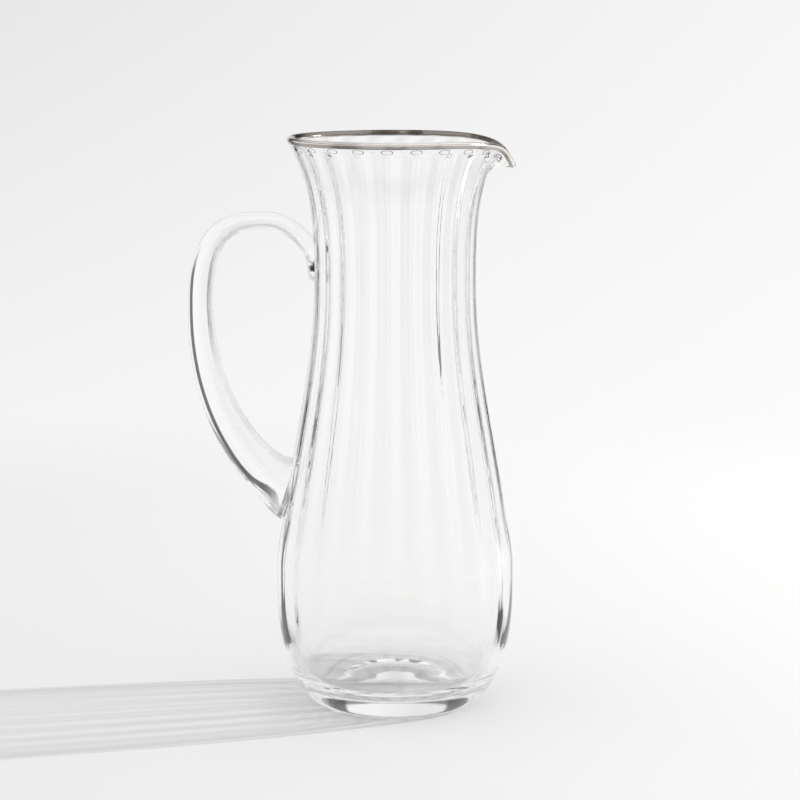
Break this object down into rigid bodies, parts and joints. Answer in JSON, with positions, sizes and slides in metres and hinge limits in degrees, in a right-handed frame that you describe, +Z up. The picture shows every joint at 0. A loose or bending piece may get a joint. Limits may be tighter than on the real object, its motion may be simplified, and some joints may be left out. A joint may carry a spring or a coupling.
{
  "type": "water pitcher",
  "caption": "Tall clear blown glass water pitcher with a drooping pour spout, a solid applied loop handle and a thin silver band round the lip, for serving drinks.",
  "frame": {"origin": "centre of the foot, on the plane it stands on", "axes": "+Z up along the vessel's axis, +X towards the pour spout, -X towards the handle"},
  "size_m": [0.1661, 0.1216, 0.2914],
  "materials": {
    "clear_glass": "clear, polished, faintly rippled inside",
    "silver_lustre": "fired-on metal lustre, bright with fine streaks"
  },
  "bodies": {
    "root": {"glass_body": "clear_glass", "handle": "clear_glass", "silver_band": "silver_lustre"}
  },
  "joints": []
}
